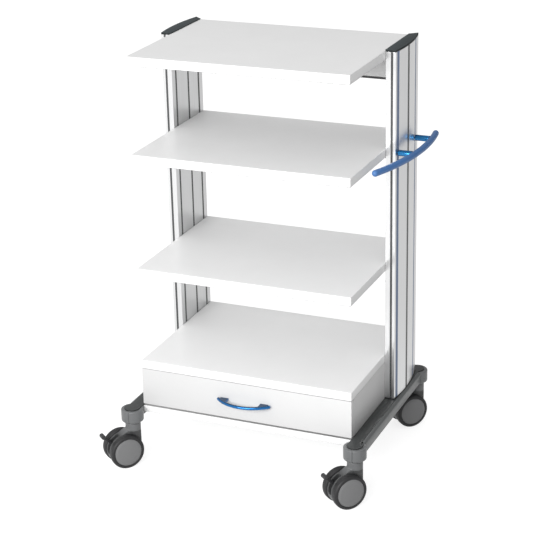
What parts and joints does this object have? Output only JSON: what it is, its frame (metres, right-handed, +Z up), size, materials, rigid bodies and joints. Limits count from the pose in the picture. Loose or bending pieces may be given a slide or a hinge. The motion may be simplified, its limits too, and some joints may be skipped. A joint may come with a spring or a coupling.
{
  "type": "instrument cart",
  "caption": "Rolling instrument cart with open shelves on two slotted columns, a drawer unit, a side push handle and twin wheel swivel casters.",
  "frame": {"origin": "on the floor, midway between the four caster swivel stems", "axes": "+Z up, -Y towards the front (the side the drawer opens to), +X towards the side with the push handle"},
  "size_m": [0.8212, 0.65, 1.1825],
  "materials": {
    "anodised": "satin",
    "cap_plastic": "matt",
    "foot_plate": "matt",
    "strip_dark": "matt",
    "strip_blue": "satin",
    "laminate": "matt white laminate",
    "edging": "satin",
    "bracket_steel": "satin",
    "zinc_steel": "satin",
    "rear_panel": "matt laminate",
    "panel_trim": "matt",
    "carcass_board": "matt white laminate",
    "beam_white": "powder coated",
    "runner_grey": "satin",
    "runner_cover": "matt",
    "socket_grey": "satin",
    "grip_blue": "satin",
    "post_blue": "gloss metallic",
    "slide_steel": "satin",
    "drawer_board": "matt white laminate",
    "front_board": "matt white laminate",
    "handle_blue": "gloss metallic",
    "caster_housing": "satin",
    "bright_steel": "polished",
    "tyre_rubber": "matt",
    "hub_grey": "satin",
    "pedal_black": "satin"
  },
  "bodies": {
    "frame": {"column_left": "anodised", "column_right": "anodised", "column_caps": "cap_plastic", "column_feet": "foot_plate", "dark_strips": "strip_dark", "blue_strips": "strip_blue", "shelf_top": "laminate", "shelf_upper": "laminate", "shelf_middle": "laminate", "drawer_unit_top": "laminate", "shelf_edging": "edging", "shelf_brackets": "bracket_steel", "frame_screws": "zinc_steel", "t_nuts": "zinc_steel", "shelf_screws": "zinc_steel", "rear_panel": "rear_panel", "rear_panel_trim": "panel_trim", "carcass_side_left": "carcass_board", "carcass_side_right": "carcass_board", "carcass_back": "carcass_board", "carcass_bottom": "carcass_board", "crossbeams": "beam_white", "runner_left": "runner_grey", "runner_right": "runner_grey", "runner_covers": "runner_cover", "caster_sockets": "socket_grey", "push_grip": "grip_blue", "push_posts": "post_blue", "slide_outers": "slide_steel"},
    "slide_runners": {"slide_middles": "slide_steel"},
    "drawer": {"slide_inners": "slide_steel", "drawer_box": "drawer_board", "drawer_front": "front_board", "drawer_handle": "handle_blue"},
    "caster_fl": {"fork_fl": "caster_housing", "pins_fl": "bright_steel"},
    "wheel_fl_in": {"tyre_fl_in": "tyre_rubber", "hub_fl_in": "hub_grey"},
    "wheel_fl_out": {"tyre_fl_out": "tyre_rubber", "hub_fl_out": "hub_grey"},
    "brake_fl": {"pedal_fl": "pedal_black"},
    "caster_fr": {"fork_fr": "caster_housing", "pins_fr": "bright_steel"},
    "wheel_fr_in": {"tyre_fr_in": "tyre_rubber", "hub_fr_in": "hub_grey"},
    "wheel_fr_out": {"tyre_fr_out": "tyre_rubber", "hub_fr_out": "hub_grey"},
    "brake_fr": {"pedal_fr": "pedal_black"},
    "caster_rl": {"fork_rl": "caster_housing", "pins_rl": "bright_steel"},
    "wheel_rl_in": {"tyre_rl_in": "tyre_rubber", "hub_rl_in": "hub_grey"},
    "wheel_rl_out": {"tyre_rl_out": "tyre_rubber", "hub_rl_out": "hub_grey"},
    "caster_rr": {"fork_rr": "caster_housing", "pins_rr": "bright_steel"},
    "wheel_rr_in": {"tyre_rr_in": "tyre_rubber", "hub_rr_in": "hub_grey"},
    "wheel_rr_out": {"tyre_rr_out": "tyre_rubber", "hub_rr_out": "hub_grey"}
  },
  "joints": [
    {"name": "drawer_slide", "type": "slide", "parent": "frame", "child": "drawer", "axis": [0, -1, 0], "range_m": [0, 0.36]},
    {"name": "slide_middle_travel", "type": "slide", "parent": "frame", "child": "slide_runners", "axis": [0, -1, 0], "range_m": [0, 0.18]},
    {"name": "swivel_fl", "type": "hinge", "parent": "frame", "child": "caster_fl", "pos_m": [-0.336, -0.265, 0.112], "axis": [0, 0, 1], "continuous": true},
    {"name": "spin_fl_in", "type": "hinge", "parent": "caster_fl", "child": "wheel_fl_in", "pos_m": [-0.37789, -0.27292, 0.05], "axis": [0.766, -0.6428, 0], "continuous": true},
    {"name": "spin_fl_out", "type": "hinge", "parent": "caster_fl", "child": "wheel_fl_out", "pos_m": [-0.33653, -0.30763, 0.05], "axis": [0.766, -0.6428, 0], "continuous": true},
    {"name": "brake_fl", "type": "hinge", "parent": "caster_fl", "child": "brake_fl", "pos_m": [-0.372, -0.3079, 0.06], "axis": [0.766, -0.6428, 0], "range_deg": [0, 14]},
    {"name": "swivel_fr", "type": "hinge", "parent": "frame", "child": "caster_fr", "pos_m": [0.336, -0.265, 0.112], "axis": [0, 0, 1], "continuous": true},
    {"name": "spin_fr_in", "type": "hinge", "parent": "caster_fr", "child": "wheel_fr_in", "pos_m": [0.29411, -0.27292, 0.05], "axis": [0.766, -0.6428, 0], "continuous": true},
    {"name": "spin_fr_out", "type": "hinge", "parent": "caster_fr", "child": "wheel_fr_out", "pos_m": [0.33547, -0.30763, 0.05], "axis": [0.766, -0.6428, 0], "continuous": true},
    {"name": "brake_fr", "type": "hinge", "parent": "caster_fr", "child": "brake_fr", "pos_m": [0.3, -0.3079, 0.06], "axis": [0.766, -0.6428, 0], "range_deg": [0, 14]},
    {"name": "swivel_rl", "type": "hinge", "parent": "frame", "child": "caster_rl", "pos_m": [-0.336, 0.265, 0.112], "axis": [0, 0, 1], "continuous": true},
    {"name": "spin_rl_in", "type": "hinge", "parent": "caster_rl", "child": "wheel_rl_in", "pos_m": [-0.37789, 0.25708, 0.05], "axis": [0.766, -0.6428, 0], "continuous": true},
    {"name": "spin_rl_out", "type": "hinge", "parent": "caster_rl", "child": "wheel_rl_out", "pos_m": [-0.33653, 0.22237, 0.05], "axis": [0.766, -0.6428, 0], "continuous": true},
    {"name": "swivel_rr", "type": "hinge", "parent": "frame", "child": "caster_rr", "pos_m": [0.336, 0.265, 0.112], "axis": [0, 0, 1], "continuous": true},
    {"name": "spin_rr_in", "type": "hinge", "parent": "caster_rr", "child": "wheel_rr_in", "pos_m": [0.29411, 0.25708, 0.05], "axis": [0.766, -0.6428, 0], "continuous": true},
    {"name": "spin_rr_out", "type": "hinge", "parent": "caster_rr", "child": "wheel_rr_out", "pos_m": [0.33547, 0.22237, 0.05], "axis": [0.766, -0.6428, 0], "continuous": true}
  ],
  "couplings": [
    {"joint": "slide_middle_travel", "follows": "drawer_slide", "ratio": 0.5}
  ]
}
